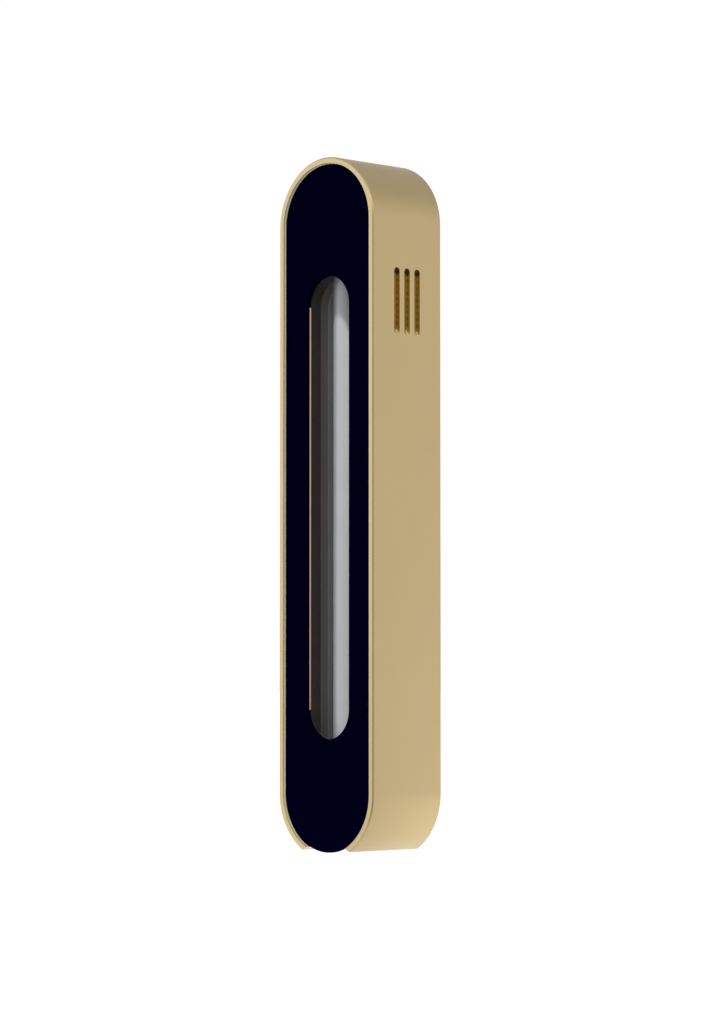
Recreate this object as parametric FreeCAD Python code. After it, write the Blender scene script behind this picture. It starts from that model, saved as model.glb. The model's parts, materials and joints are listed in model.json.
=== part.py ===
import FreeCAD, Part
import math
import os

# Powered skin scrubber: a flat pill-shaped handle with a steel roller behind a long window.
# Frame: +Z up along the handle, front towards -Y, vents on the +X side.
# The origin is under the middle of the handle, level with the lowest point of its panels.
# All sizes are in millimetres.

# Housing band
body_width = 34.0
body_depth = 25.2
outline_height = 180.8
band_wall = 1.9
rim_wall = 1.55
front_chamfer = 0.3
back_chamfer = 0.1
rim_inner_chamfer = 0.05
groove_depth = 0.5
foot_cut = 2.4
mouth_inner_half_width = 6.48

# Front and back panels
panel_recess = 0.8
panel_thickness = 1.4
panel_bevel = 0.05
panel_back_chamfer = 0.8

# Window in the front panel and the trim that lines it
window_radius = 7.6
window_bottom = 28.9
window_top = 148.23
window_lip = 1.05
trim_wall = 0.3
trim_depth = 0.65

# Vents
vent_count = 3
vent_pitch = 3.755
vent_width = 2.0
vent_bottom = 132.52
vent_top = 149.72
screen_thickness = 0.45
screen_margin = 1.4
screen_hole_radius = 0.35
screen_hole_pitch = 1.6

# Roller and its bearings
roller_radius = 4.3
roller_wall = 0.8
roller_axis_depth = 8.2
roller_bottom = 28.2
roller_top = 153.0
hub_length = 8.0
spindle_radius = 1.5
spindle_bottom = 19.8
spindle_top = 158.8
running_clearance = 0.03
bush_radius = 2.5
bush_flange_radius = 3.2
bush_flange = 0.5
block_bottom = 154.3
block_top = 158.3
block_half_width = 7.5
block_front = -8.6
bearing_screw_x = 5.0

# Trough behind the window; the trim stands in its mouth
trough_wall = 1.2
trough_step = 0.1
trough_step_depths = (5.4, 8.0)
trough_bottom = 27.6
trough_end_wall = 1.5
roller_to_floor = 1.0
roller_hole_clearance = 0.3

# Gear pair
gear_module = 0.5
gear_teeth = 21
pinion_teeth = 11
pressure_angle = math.radians(25)
tooth_addendum = 0.85
tooth_dedendum = 1.15
tooth_thinning = 0.05
flank_points = 5
gear_bottom = 22.5
gear_width = 2.8

# Motor
motor_radius = 5.0
motor_can_wall = 0.5
motor_bottom = 5.6
motor_top = 20.0
motor_end_cap_height = 1.5
motor_boss_radius = 2.0
motor_boss_height = 1.0
motor_shaft_radius = 0.75
magnet_thickness = 0.8
magnet_arc = 130.0
armature_radius = 3.1
armature_bottom = 9.2
armature_top = 17.2
commutator_radius = 1.4
motor_screw_offset = 3.4

# Bracket that carries the motor and the foot of the spindle
bracket_bottom = 20.2
bracket_thickness = 1.2
bracket_half_width = 13.4
bracket_front = -8.4
bracket_back = 9.6
bracket_screw_x = 11.6
bracket_screw_y = -1.6

# Chassis
chassis_gap = 0.05
chassis_rim = 1.5
gasket_thickness = 0.4
gasket_width = 1.5
chassis_plate = 1.2
chassis_plate_bottom = 28.0
chassis_bottom = 6.2
lug_width = 3.4
lug_depth = 3.2
lug_height = 5.0

# Base cap and charging port
base_cap_bottom = 2.2
port_width = 8.94
port_height = 3.26
port_length = 7.35
port_wall = 0.3
port_y = -6.5
port_mouth = 2.4
port_opening_gap = 0.15
tongue_width = 6.7
tongue_thickness = 0.7
charging_board_half_width = 8.0
charging_board_thickness = 0.8
charging_board_top = 19.4

# Battery and main board
battery_width = 22.0
battery_thickness = 4.8
battery_bottom = 36.0
battery_top = 102.0
battery_pad = 0.3
battery_edge = 1.2
board_width = 22.0
board_bottom = 106.0
board_top = 168.0
board_y = 6.2
board_thickness = 1.0
board_post_radius = 1.8
board_post_inset = 2.6

# Power button and status light on the back panel
button_z = 152.0
button_radius = 4.5
button_gap = 0.3
button_stand = 0.5
button_flange_radius = 5.6
button_flange = 0.6
button_flange_gap = 0.15
switch_side = 6.0
switch_height = 1.6
plunger_radius = 0.9
plunger_clearance = 0.05
plunger_depth = 0.7
button_travel = 0.4
light_radius = 0.8
light_z = 162.0

# Screws
screw_radius = 0.7
screw_head_radius = 1.4
screw_head_height = 0.8
screw_length = 2.6
motor_screw_length = 1.6

# Derived places
band_radius = body_width / 2
inner_radius = band_radius - band_wall
rim_inner_radius = band_radius - rim_wall
half_depth = body_depth / 2
outline_bottom = -band_wall
outline_top = outline_bottom + outline_height
inner_top = outline_top - band_wall
foot_z = outline_bottom + foot_cut
panel_face = half_depth - panel_recess
panel_inside = panel_face - panel_thickness
window_centre_top = window_top - window_radius
roller_y = -panel_face + roller_axis_depth
trough_floor = roller_y + roller_radius + roller_to_floor
trough_back = trough_floor + trough_wall
trough_radius = window_radius + trim_wall
trough_outer_radius = trough_radius + trough_wall
chassis_plate_back = trough_back + chassis_plate
centre_distance = gear_module * (gear_teeth + pinion_teeth) / 2
motor_y = roller_y + centre_distance
bracket_top = bracket_bottom + bracket_thickness
seat_y = panel_inside - gasket_thickness
vent_middle = (vent_bottom + vent_top) / 2

os.makedirs("parts", exist_ok=True)


def vec(x, y, z):
    return FreeCAD.Vector(x, y, z)


UP = vec(0, 0, 1)
BACKWARD = vec(0, 1, 0)
SIDEWAYS = vec(1, 0, 0)


def write(name, *solids):
    """Save one sub-part; several solids are saved together as one group."""
    shape = solids[0] if len(solids) == 1 else Part.makeCompound(list(solids))
    shape.exportStep("parts/" + name + ".step")


def block(x0, x1, y0, y1, z0, z1):
    return Part.makeBox(x1 - x0, y1 - y0, z1 - z0, vec(x0, y0, z0))


def upright(radius, x, y, z0, z1):
    """Cylinder along Z."""
    return Part.makeCylinder(radius, z1 - z0, vec(x, y, z0), UP)


def deep(radius, x, z, y0, y1):
    """Cylinder along Y."""
    return Part.makeCylinder(radius, y1 - y0, vec(x, y0, z), BACKWARD)


def ring(outer, inner, x, y, z0, z1):
    return upright(outer, x, y, z0, z1).cut(upright(inner, x, y, z0, z1))


def pill(radius, z0, z1, y0, y1):
    """Upright pill outline with round ends, extruded from y0 to y1."""
    low = z0 + radius
    high = z1 - radius
    edges = [
        Part.LineSegment(vec(-radius, y0, low), vec(-radius, y0, high)),
        Part.Arc(vec(-radius, y0, high), vec(0, y0, z1), vec(radius, y0, high)),
        Part.LineSegment(vec(radius, y0, high), vec(radius, y0, low)),
        Part.Arc(vec(radius, y0, low), vec(0, y0, z0), vec(-radius, y0, low)),
    ]
    wire = Part.Wire([edge.toShape() for edge in edges])
    return Part.Face(wire).extrude(vec(0, y1 - y0, 0))


def arch(radius, z0, z1, y0, y1):
    """Outline with a round top and a flat foot, extruded from y0 to y1."""
    high = z1 - radius
    edges = [
        Part.LineSegment(vec(radius, y0, z0), vec(-radius, y0, z0)),
        Part.LineSegment(vec(-radius, y0, z0), vec(-radius, y0, high)),
        Part.Arc(vec(-radius, y0, high), vec(0, y0, z1), vec(radius, y0, high)),
        Part.LineSegment(vec(radius, y0, high), vec(radius, y0, z0)),
    ]
    wire = Part.Wire([edge.toShape() for edge in edges])
    return Part.Face(wire).extrude(vec(0, y1 - y0, 0))


def rim_edges(shape, y, radius):
    """Edges of the outline in the plane at y, out at the given radius."""
    found = []
    for edge in shape.Edges:
        ends = [edge.valueAt(edge.FirstParameter), edge.valueAt(edge.LastParameter)]
        flat = all(abs(point.y - y) < 1e-6 for point in ends)
        outside = all(abs(abs(point.x) - radius) < 1e-6 for point in ends)
        if flat and outside:
            found.append(edge)
    return found


def screw(head_at, direction, length):
    """Pan-head screw whose head sits on the point and whose shank runs along the direction."""
    head_start = head_at - direction * screw_head_height
    head = Part.makeCylinder(screw_head_radius, screw_head_height, head_start, direction)
    shank = Part.makeCylinder(screw_radius, length, head_at, direction)
    return head.fuse(shank).removeSplitter()


def bored(shape, holes):
    for hole in holes:
        shape = shape.cut(hole)
    return shape


# ---------------------------------------------------------------- housing

def mouth_cutter():
    """Space of the open foot; its end faces slope up towards the inside of the band."""
    outer_half = math.sqrt(band_radius ** 2 - (inner_radius - foot_z) ** 2)
    inner_z = inner_radius - math.sqrt(inner_radius ** 2 - mouth_inner_half_width ** 2)
    below = outline_bottom - 1
    corners = [
        (-outer_half, below),
        (-outer_half, foot_z),
        (-mouth_inner_half_width, inner_z),
        (mouth_inner_half_width, inner_z),
        (outer_half, foot_z),
        (outer_half, below),
    ]
    points = [vec(x, -half_depth - 1, z) for x, z in corners]
    wire = Part.makePolygon(points + points[:1])
    return Part.Face(wire).extrude(vec(0, body_depth + 2, 0))


def vent_cutter(y):
    radius = vent_width / 2
    start = inner_radius - 1
    length = band_wall + 2
    middle = block(start, start + length, y - radius, y + radius, vent_bottom + radius, vent_top - radius)
    low = Part.makeCylinder(radius, length, vec(start, y, vent_bottom + radius), SIDEWAYS)
    high = Part.makeCylinder(radius, length, vec(start, y, vent_top - radius), SIDEWAYS)
    return middle.fuse([low, high]).removeSplitter()


def vent_rows():
    first = -(vent_count - 1) / 2
    return [(first + index) * vent_pitch for index in range(vent_count)]


def make_band():
    """Pill-shaped band whose wall is thinner at both rims, which leaves a groove around each panel."""
    shell = pill(band_radius, outline_bottom, outline_top, -half_depth, half_depth)
    shell = shell.makeChamfer(front_chamfer, rim_edges(shell, -half_depth, band_radius))
    shell = shell.makeChamfer(back_chamfer, rim_edges(shell, half_depth, band_radius))
    ledge = panel_face - groove_depth
    step = band_wall - rim_wall
    hollow = pill(inner_radius, 0, inner_top, -half_depth - 1, half_depth + 1)
    front_rim = pill(rim_inner_radius, -step, inner_top + step, -half_depth - 1, -ledge)
    back_rim = pill(rim_inner_radius, -step, inner_top + step, ledge, half_depth + 1)
    shell = bored(shell, [hollow, front_rim, back_rim])
    edges = rim_edges(shell, -half_depth, rim_inner_radius) + rim_edges(shell, half_depth, rim_inner_radius)
    shell = shell.makeChamfer(rim_inner_chamfer, edges)
    return bored(shell, [mouth_cutter()] + [vent_cutter(y) for y in vent_rows()])


def make_vent_screen():
    half = vent_pitch + vent_width / 2 + screen_margin
    low = vent_bottom - screen_margin
    high = vent_top + screen_margin
    plate = block(inner_radius - screen_thickness, inner_radius, -half, half, low, high)
    holes = []
    count = int((vent_top - vent_bottom - vent_width) / screen_hole_pitch)
    for y in vent_rows():
        for index in range(count + 1):
            z = vent_middle + (index - count / 2) * screen_hole_pitch
            start = vec(inner_radius - screen_thickness - 1, y, z)
            holes.append(Part.makeCylinder(screen_hole_radius, screen_thickness + 2, start, SIDEWAYS))
    return bored(plate, holes)


def panel_plate(face, inside):
    """Panel blank: a fine bevel on the face, a wider chamfer on the inside."""
    plate = pill(inner_radius, 0, inner_top, min(face, inside), max(face, inside))
    plate = plate.makeChamfer(panel_bevel, rim_edges(plate, face, inner_radius))
    return plate.makeChamfer(panel_back_chamfer, rim_edges(plate, inside, inner_radius))


def trim_strips():
    """Straight strips along both sides of the window, from arch to arch."""
    front = -panel_face + window_lip
    strips = []
    for x in (-window_radius - trim_wall, window_radius):
        strips.append(block(x, x + trim_wall, front, front + trim_depth,
                            window_bottom + window_radius, window_top - window_radius))
    return strips


def make_front_panel():
    window = pill(window_radius, window_bottom, window_top, -panel_face - 1, -panel_inside + 1)
    return bored(panel_plate(-panel_face, -panel_inside), [window] + trim_strips())


def make_back_panel():
    button_hole = deep(button_radius + button_gap, 0, button_z, panel_inside - 1, panel_face + 1)
    light_hole = deep(light_radius, 0, light_z, panel_inside - 1, panel_face + 1)
    return bored(panel_plate(panel_face, panel_inside), [button_hole, light_hole])


def make_gasket(y0, y1):
    """Flat seal that follows the edge of a panel, down to the base cap."""
    outside = pill(inner_radius - chassis_gap, chassis_gap, inner_top - chassis_gap, y0, y1)
    width = chassis_gap + gasket_width
    inside = pill(inner_radius - width, width, inner_top - width, y0 - 1, y1 + 1)
    foot = block(-band_radius, band_radius, y0 - 1, y1 + 1, -1, chassis_bottom)
    return bored(outside, [inside, foot])


# ---------------------------------------------------------------- chassis and foot

def screw_column(side):
    """Centre line of a bracket screw on one side of the chassis."""
    return side * bracket_screw_x, bracket_screw_y


def board_corners():
    x = board_width / 2 - board_post_inset
    return [(side * x, z) for side in (-1, 1)
            for z in (board_bottom + board_post_inset, board_top - board_post_inset)]


def bearing_screw_places():
    middle = (block_bottom + block_top) / 2
    return [(-bearing_screw_x, middle), (bearing_screw_x, middle)]


def make_chassis():
    outside = pill(inner_radius - chassis_gap, chassis_gap, inner_top - chassis_gap, -seat_y, seat_y)
    width = chassis_gap + chassis_rim
    inside = pill(inner_radius - width, width, inner_top - width, -seat_y - 1, seat_y + 1)
    plate = pill(inner_radius - width, width, inner_top - width, trough_back, chassis_plate_back)
    plate = plate.cut(block(-band_radius, band_radius, -half_depth, half_depth, 0, chassis_plate_bottom))
    body = outside.cut(inside).fuse(plate)
    lug_outer = inner_radius - width + 0.5
    for side in (-1, 1):
        x, y = screw_column(side)
        near, far = sorted((x - side * lug_width / 2, side * lug_outer))
        lug = block(near, far, y - lug_depth / 2, y + lug_depth / 2, bracket_top, bracket_top + lug_height)
        body = body.fuse(lug)
    for x, z in board_corners():
        body = body.fuse(deep(board_post_radius, x, z, chassis_plate_back, board_y))
    body = body.removeSplitter()
    cuts = [block(-band_radius, band_radius, -half_depth, half_depth, -1, chassis_bottom)]
    half = vent_pitch + vent_width / 2 + screen_margin
    cuts.append(block(inner_radius - width - 1, band_radius, -half, half,
                      vent_bottom - screen_margin, vent_top + screen_margin))
    for side in (-1, 1):
        x, y = screw_column(side)
        cuts.append(upright(screw_radius, x, y, bracket_top, bracket_top + screw_length))
    for x, z in board_corners():
        cuts.append(deep(screw_radius, x, z, board_y - (screw_length - board_thickness), board_y))
    for x, z in bearing_screw_places():
        cuts.append(deep(screw_radius, x, z, trough_back, chassis_plate_back))
    return bored(body, cuts)


def make_base_cap():
    """Cap that fills the open foot between the panels, with a hole for the charging port."""
    fill = pill(inner_radius, 0, inner_top, -panel_inside, panel_inside)
    slab = block(-band_radius, band_radius, -panel_inside, panel_inside, base_cap_bottom, chassis_bottom)
    gap = port_opening_gap
    opening = block(-port_width / 2 - gap, port_width / 2 + gap,
                    port_y - port_height / 2 - gap, port_y + port_height / 2,
                    0, chassis_bottom + 1)
    board_back = port_y + port_height / 2 + charging_board_thickness
    board_slot = block(-charging_board_half_width, charging_board_half_width,
                       port_y + port_height / 2, board_back, base_cap_bottom + 1.0, chassis_bottom + 1)
    motor_room = upright(motor_radius + 0.3, 0, motor_y, motor_bottom - 0.6, chassis_bottom + 1)
    return bored(fill.common(slab), [opening, board_slot, motor_room])


def make_charging_port():
    """Reversible socket facing down, with its contact tongue."""
    x = port_width / 2
    y0 = port_y - port_height / 2
    y1 = port_y + port_height / 2
    shell = block(-x, x, y0, y1, port_mouth, port_mouth + port_length)
    corner_edges = [edge for edge in shell.Edges
                    if abs(edge.valueAt(0).z - edge.valueAt(edge.Length).z) > 1]
    shell = shell.makeFillet(port_height * 0.4, corner_edges)
    inner = block(-x + port_wall, x - port_wall, y0 + port_wall, y1 - port_wall,
                  port_mouth - 1, port_mouth + port_length - 1)
    corner_edges = [edge for edge in inner.Edges
                    if abs(edge.valueAt(0).z - edge.valueAt(edge.Length).z) > 1]
    inner = inner.makeFillet(port_height * 0.3, corner_edges)
    tongue = block(-tongue_width / 2, tongue_width / 2,
                   port_y - tongue_thickness / 2, port_y + tongue_thickness / 2,
                   port_mouth + 0.8, port_mouth + port_length - 0.5)
    return shell.cut(inner).fuse(tongue).removeSplitter()


def make_charging_board():
    front = port_y + port_height / 2
    return block(-charging_board_half_width, charging_board_half_width,
                 front, front + charging_board_thickness, base_cap_bottom + 1.0, charging_board_top)


# ---------------------------------------------------------------- roller and its supports

def make_trough():
    """Dark lining behind the window, arched at the top and running on past the window at the foot."""
    outside = arch(trough_outer_radius, trough_bottom - trough_end_wall,
                   window_centre_top + trough_outer_radius, -panel_inside, trough_back)
    cuts = []
    ends = [-panel_face + depth for depth in trough_step_depths] + [trough_floor]
    start = -panel_inside - 1
    for index, end in enumerate(ends):
        radius = trough_radius - index * trough_step
        cuts.append(arch(radius, trough_bottom, window_centre_top + radius, start, end))
        start = end
    hole_radius = roller_radius + roller_hole_clearance
    cuts.append(upright(hole_radius, 0, roller_y, window_centre_top, roller_top))
    cuts.append(upright(bush_flange_radius, 0, roller_y,
                        trough_bottom - trough_end_wall, trough_bottom))
    return bored(outside, cuts)


def make_spindle_seal():
    return ring(bush_flange_radius, spindle_radius + 0.1, 0, roller_y,
                trough_bottom - trough_end_wall, trough_bottom)


def make_sleeve():
    return ring(roller_radius, roller_radius - roller_wall, 0, roller_y, roller_bottom, roller_top)


def make_hub(z0, z1):
    return ring(roller_radius - roller_wall, spindle_radius, 0, roller_y, z0, z1)


def make_spindle():
    return upright(spindle_radius, 0, roller_y, spindle_bottom, spindle_top)


def make_bush(z0, z1, flange_z):
    """Flanged plain bearing for the spindle."""
    body = upright(bush_radius, 0, roller_y, z0, z1)
    flange = upright(bush_flange_radius, 0, roller_y, flange_z, flange_z + bush_flange)
    bore = upright(spindle_radius + running_clearance, 0, roller_y, z0 - 2, z1 + 2)
    return body.fuse(flange).removeSplitter().cut(bore)


def make_bearing_block():
    body = block(-block_half_width, block_half_width, block_front, trough_back, block_bottom, block_top)
    holes = [upright(bush_radius, 0, roller_y, block_bottom, block_top)]
    for x, z in bearing_screw_places():
        depth = screw_length - chassis_plate
        holes.append(deep(screw_radius, x, z, trough_back - depth, trough_back))
    return bored(body, holes)


def make_bracket():
    plate = block(-bracket_half_width, bracket_half_width, bracket_front, bracket_back,
                  bracket_bottom, bracket_top)
    holes = [
        upright(bush_radius, 0, roller_y, bracket_bottom, bracket_top),
        upright(motor_boss_radius + 0.1, 0, motor_y, bracket_bottom, bracket_top),
    ]
    for side in (-1, 1):
        x, y = screw_column(side)
        holes.append(upright(screw_radius, x, y, bracket_bottom, bracket_top))
        holes.append(upright(screw_radius, side * motor_screw_offset, motor_y,
                             bracket_bottom, bracket_top))
    return bored(plate, holes)


# ---------------------------------------------------------------- gears

def involute_half_angle(radius, pitch_radius, half_thickness):
    """Half the angle that a tooth fills at a radius, for an involute flank."""
    base = pitch_radius * math.cos(pressure_angle)
    if radius <= base:
        alpha = 0.0
    else:
        alpha = math.acos(base / radius)
    involute = math.tan(alpha) - alpha
    pitch_involute = math.tan(pressure_angle) - pressure_angle
    return half_thickness / pitch_radius + pitch_involute - involute


def make_gear(teeth, x, y, z0, z1, bore_radius, tooth_direction):
    """Spur gear with one tooth centred on tooth_direction, in radians from +X."""
    pitch_radius = gear_module * teeth / 2
    tip = pitch_radius + gear_module * tooth_addendum
    root = pitch_radius - gear_module * tooth_dedendum
    half_thickness = math.pi * gear_module / 4 - tooth_thinning
    points = []
    for tooth in range(teeth):
        centre = tooth_direction + 2 * math.pi * tooth / teeth
        radii = [root + (tip - root) * step / (flank_points - 1) for step in range(flank_points)]
        rising = [(r, centre - involute_half_angle(r, pitch_radius, half_thickness)) for r in radii]
        falling = [(r, centre + involute_half_angle(r, pitch_radius, half_thickness))
                   for r in reversed(radii)]
        for radius, angle in rising + falling:
            points.append(vec(x + radius * math.cos(angle), y + radius * math.sin(angle), z0))
    wire = Part.makePolygon(points + points[:1])
    body = Part.Face(wire).extrude(vec(0, 0, z1 - z0))
    return body.cut(upright(bore_radius, x, y, z0 - 1, z1 + 1))


# ---------------------------------------------------------------- motor

def make_motor_can():
    body = upright(motor_radius, 0, motor_y, motor_bottom + motor_end_cap_height, motor_top)
    boss = upright(motor_boss_radius, 0, motor_y, motor_top, motor_top + motor_boss_height)
    inner = upright(motor_radius - motor_can_wall, 0, motor_y,
                    motor_bottom, motor_top - 2 * motor_can_wall)
    holes = [inner, upright(motor_shaft_radius + running_clearance, 0, motor_y, motor_bottom, bracket_top)]
    for side in (-1, 1):
        holes.append(upright(screw_radius, side * motor_screw_offset, motor_y,
                             motor_top - 2 * motor_can_wall, motor_top))
    return bored(body.fuse(boss).removeSplitter(), holes)


def make_magnets():
    """Two curved magnets inside the motor can."""
    outer = motor_radius - motor_can_wall
    arcs = []
    for start in (-magnet_arc / 2, 180 - magnet_arc / 2):
        low = armature_bottom
        height = armature_top - armature_bottom
        solid = Part.makeCylinder(outer, height, vec(0, motor_y, low), UP, magnet_arc)
        solid = solid.cut(upright(outer - magnet_thickness, 0, motor_y, low - 1, armature_top + 1))
        solid.rotate(vec(0, motor_y, 0), UP, start)
        arcs.append(solid)
    return arcs


def make_motor_end_cap():
    cap_top = motor_bottom + motor_end_cap_height
    return upright(motor_radius, 0, motor_y, motor_bottom, cap_top).cut(
        upright(motor_shaft_radius + running_clearance, 0, motor_y, motor_bottom + 0.5, cap_top))


def make_armature():
    core = upright(armature_radius, 0, motor_y, armature_bottom, armature_top)
    commutator = upright(commutator_radius, 0, motor_y,
                         motor_bottom + motor_end_cap_height + 0.4, armature_bottom)
    bore = upright(motor_shaft_radius, 0, motor_y, motor_bottom, motor_top)
    return core.fuse(commutator).removeSplitter().cut(bore)


def make_motor_shaft():
    return upright(motor_shaft_radius, 0, motor_y, motor_bottom + 0.7, gear_bottom + gear_width + 0.4)


# ---------------------------------------------------------------- electrics and controls

def make_battery():
    half = battery_width / 2
    back = chassis_plate_back + battery_pad + battery_thickness
    cell = block(-half, half, chassis_plate_back + battery_pad, back, battery_bottom, battery_top)
    long_edges = [edge for edge in cell.Edges if edge.Length > battery_width + 1]
    return cell.makeFillet(battery_edge, long_edges)


def make_battery_pad():
    half = battery_width / 2 - battery_edge
    return block(-half, half, chassis_plate_back, chassis_plate_back + battery_pad,
                 battery_bottom + battery_edge, battery_top - battery_edge)


def make_main_board():
    half = board_width / 2
    plate = block(-half, half, board_y, board_y + board_thickness, board_bottom, board_top)
    holes = [deep(screw_radius, x, z, board_y - 1, board_y + board_thickness + 1)
             for x, z in board_corners()]
    return bored(plate, holes)


def switch_top():
    return board_y + board_thickness + switch_height


def make_power_switch():
    half = switch_side / 2
    body = block(-half, half, board_y + board_thickness, switch_top(), button_z - half, button_z + half)
    bore = deep(plunger_radius + plunger_clearance, 0, button_z,
                switch_top() - plunger_depth - button_travel - 0.2, switch_top() + 1)
    return body.cut(bore)


def flange_inside():
    return panel_inside - button_flange_gap - button_flange


def make_switch_plunger():
    return deep(plunger_radius, 0, button_z, switch_top() - plunger_depth, flange_inside())


def make_power_button():
    cap = deep(button_radius, 0, button_z, flange_inside(), panel_face + button_stand)
    top_edges = [edge for edge in cap.Edges
                 if abs(edge.BoundBox.YMin - (panel_face + button_stand)) < 1e-6]
    cap = cap.makeFillet(0.3, top_edges)
    flange = deep(button_flange_radius, 0, button_z, flange_inside(), flange_inside() + button_flange)
    return cap.fuse(flange).removeSplitter()


def make_status_light():
    return deep(light_radius, 0, light_z, board_y + board_thickness, panel_face)


def main():
    write("housing_band", make_band())
    write("vent_screen", make_vent_screen())
    write("front_panel", make_front_panel())
    write("window_trim", *trim_strips())
    write("back_panel", make_back_panel())
    write("front_gasket", make_gasket(-panel_inside, -seat_y))
    write("back_gasket", make_gasket(seat_y, panel_inside))
    write("chassis", make_chassis())
    write("base_cap", make_base_cap())
    write("charging_port", make_charging_port())
    write("charging_board", make_charging_board())

    write("roller_trough", make_trough())
    write("spindle_seal", make_spindle_seal())
    write("roller_sleeve", make_sleeve())
    write("lower_roller_hub", make_hub(roller_bottom, roller_bottom + hub_length))
    write("upper_roller_hub", make_hub(roller_top - hub_length, roller_top))
    write("roller_spindle", make_spindle())
    write("upper_bush", make_bush(block_bottom, block_top, block_bottom - bush_flange))
    write("lower_bush", make_bush(bracket_bottom, bracket_top, bracket_top))
    write("upper_bearing_block", make_bearing_block())
    write("motor_bracket", make_bracket())

    gear_top = gear_bottom + gear_width
    write("roller_gear", make_gear(gear_teeth, 0, roller_y, gear_bottom, gear_top,
                                   spindle_radius, math.pi / 2))
    write("motor_pinion", make_gear(pinion_teeth, 0, motor_y, gear_bottom, gear_top,
                                    motor_shaft_radius, -math.pi / 2 + math.pi / pinion_teeth))
    write("motor_can", make_motor_can())
    write("motor_magnets", *make_magnets())
    write("motor_end_cap", make_motor_end_cap())
    write("motor_armature", make_armature())
    write("motor_shaft", make_motor_shaft())

    write("battery", make_battery())
    write("battery_pad", make_battery_pad())
    write("main_board", make_main_board())
    write("power_switch", make_power_switch())
    write("switch_plunger", make_switch_plunger())
    write("power_button", make_power_button())
    write("status_light", make_status_light())

    board_back = board_y + board_thickness
    write("board_screws", *[screw(vec(x, board_back, z), -BACKWARD, screw_length)
                            for x, z in board_corners()])
    write("bracket_screws", *[screw(vec(*screw_column(side), bracket_bottom), UP, screw_length)
                              for side in (-1, 1)])
    write("bearing_screws", *[screw(vec(x, chassis_plate_back, z), -BACKWARD, screw_length)
                              for x, z in bearing_screw_places()])
    write("motor_screws", *[screw(vec(side * motor_screw_offset, motor_y, bracket_top),
                                  -UP, motor_screw_length)
                            for side in (-1, 1)])


main()
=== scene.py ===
import json
import math

import bmesh
import bpy
from mathutils import Matrix, Vector


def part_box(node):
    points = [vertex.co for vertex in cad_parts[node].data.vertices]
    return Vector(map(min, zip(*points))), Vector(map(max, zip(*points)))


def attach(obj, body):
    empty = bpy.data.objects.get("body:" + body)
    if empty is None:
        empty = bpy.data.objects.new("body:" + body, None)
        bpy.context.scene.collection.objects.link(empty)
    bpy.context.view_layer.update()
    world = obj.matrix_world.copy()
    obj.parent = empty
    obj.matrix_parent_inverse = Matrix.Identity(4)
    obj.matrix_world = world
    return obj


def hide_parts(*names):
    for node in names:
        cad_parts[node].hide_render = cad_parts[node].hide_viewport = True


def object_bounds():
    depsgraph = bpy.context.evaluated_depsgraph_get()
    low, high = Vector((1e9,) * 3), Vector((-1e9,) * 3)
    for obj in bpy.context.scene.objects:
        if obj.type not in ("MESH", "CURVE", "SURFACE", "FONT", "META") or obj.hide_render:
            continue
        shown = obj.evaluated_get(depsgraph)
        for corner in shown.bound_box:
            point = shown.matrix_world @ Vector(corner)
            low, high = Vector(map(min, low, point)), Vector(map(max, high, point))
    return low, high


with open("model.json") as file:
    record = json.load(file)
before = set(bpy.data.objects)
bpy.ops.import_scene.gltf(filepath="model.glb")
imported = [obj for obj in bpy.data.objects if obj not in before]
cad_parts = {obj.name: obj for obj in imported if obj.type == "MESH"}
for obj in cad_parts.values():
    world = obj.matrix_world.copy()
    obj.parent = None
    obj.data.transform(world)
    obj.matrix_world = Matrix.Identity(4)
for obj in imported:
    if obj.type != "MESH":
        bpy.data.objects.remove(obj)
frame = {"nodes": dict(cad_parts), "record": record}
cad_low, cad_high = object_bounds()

# Powered skin scrubber: a gold pill-shaped band, a navy front with a long window, a steel roller behind it.
# Lengths are in metres; MM turns millimetres into metres.
MM = 0.001

# ---------------------------------------------------------------- sizes read from the frame

band_low, band_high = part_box("housing_band")
panel_low, panel_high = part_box("front_panel")
back_low, back_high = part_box("back_panel")
trim_low, trim_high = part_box("window_trim")
trough_low, trough_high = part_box("roller_trough")
sleeve_low, sleeve_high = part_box("roller_sleeve")
screen_low, screen_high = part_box("vent_screen")
button_low, button_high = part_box("power_button")
light_low, light_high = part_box("status_light")
seal_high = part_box("spindle_seal")[1]

band_radius = band_high.x
inner_radius = panel_high.x
band_wall = band_radius - inner_radius
half_depth = band_high.y
outline_top = band_high.z
outline_bottom = panel_low.z - band_wall
low_centre = outline_bottom + band_radius
high_centre = outline_top - band_radius
roller_axis = Vector((sleeve_low.x + sleeve_high.x, sleeve_low.y + sleeve_high.y, 0)) / 2
roller_radius = sleeve_high.x
button_axis = Vector((button_low.x + button_high.x, 0, button_low.z + button_high.z)) / 2
light_axis = Vector((light_low.x + light_high.x, 0, light_low.z + light_high.z)) / 2

# ---------------------------------------------------------------- sizes of small details

front_chamfer = 0.3 * MM
back_chamfer = 0.1 * MM
rim_wall = 1.55 * MM
rim_inner_chamfer = 0.05 * MM
groove_depth = 0.5 * MM
# height and width of the slanted strip at the foot of the rim's inner wall, which carries a painted
# highlight
highlight_strip_height = 0.42 * MM
highlight_strip_width = 0.15 * MM
rim_round = 0.03 * MM
edge_round = 0.08 * MM
foot_bevel = 0.1 * MM
mouth_inner_half_width = 6.48 * MM
panel_bevel = 0.05 * MM
panel_back_chamfer = 0.8 * MM
window_radius = 7.6 * MM
window_bottom = 28.9 * MM
window_top = 148.23 * MM
trim_bevel = 0.48 * MM
seat_gap = 0.02 * MM
window_round = 0.06 * MM
trough_wall = 1.2 * MM
trough_step = 0.1 * MM
foot_step = 0.02 * MM
trough_step_depths = (5.4 * MM, 8.0 * MM)
roller_hole_clearance = 0.3 * MM
roller_wall = 0.8 * MM
roller_end_round = 0.5 * MM
vent_count = 3
vent_pitch = 3.755 * MM
vent_width = 2.0 * MM
vent_margin = 1.4 * MM
vent_round = 0.06 * MM
vent_end_high = 1.25 * MM
vent_end_low = 1.05 * MM
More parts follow.
